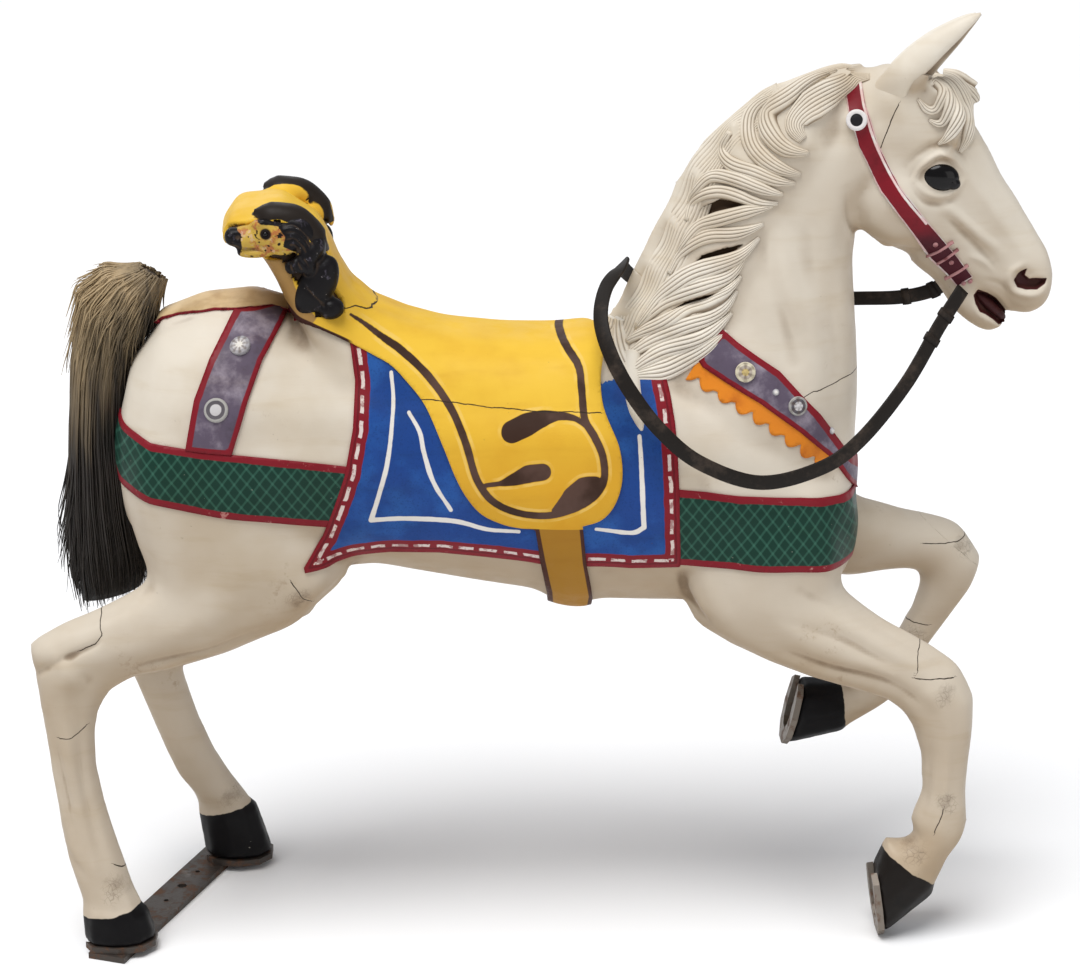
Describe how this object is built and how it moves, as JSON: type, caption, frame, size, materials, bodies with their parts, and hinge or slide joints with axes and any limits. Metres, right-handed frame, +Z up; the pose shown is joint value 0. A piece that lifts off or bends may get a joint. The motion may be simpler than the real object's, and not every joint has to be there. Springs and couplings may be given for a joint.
{
  "type": "carousel horse",
  "caption": "Carved and painted wooden carousel horse in a canter, with a high cantle, real hair tail, leather reins, iron shoes and an iron bar under its hind feet.",
  "frame": {"origin": "middle of the bounding box of everything but the reins, on the floor that the hind foot bar stands on", "axes": "+X towards the horse's nose, +Y towards the horse's left side, +Z up"},
  "size_m": [1.288, 0.363, 1.181],
  "materials": {
    "painted_wood": "old glossy oil paint over gesso, crazed and dirty in the hollows",
    "tail_hair": "coarse horsehair, golden brown above and near black below",
    "iron": "wrought iron, brown with old rust",
    "leather": "old dark harness leather, satin"
  },
  "bodies": {
    "root": {"carved_horse": "painted_wood", "horsehair_tail": "tail_hair", "hind_foot_bar": "iron", "right_hind_shoe": "iron", "left_hind_shoe": "iron", "right_fore_shoe": "iron", "left_fore_shoe": "iron", "leather_reins": "leather"}
  },
  "joints": []
}
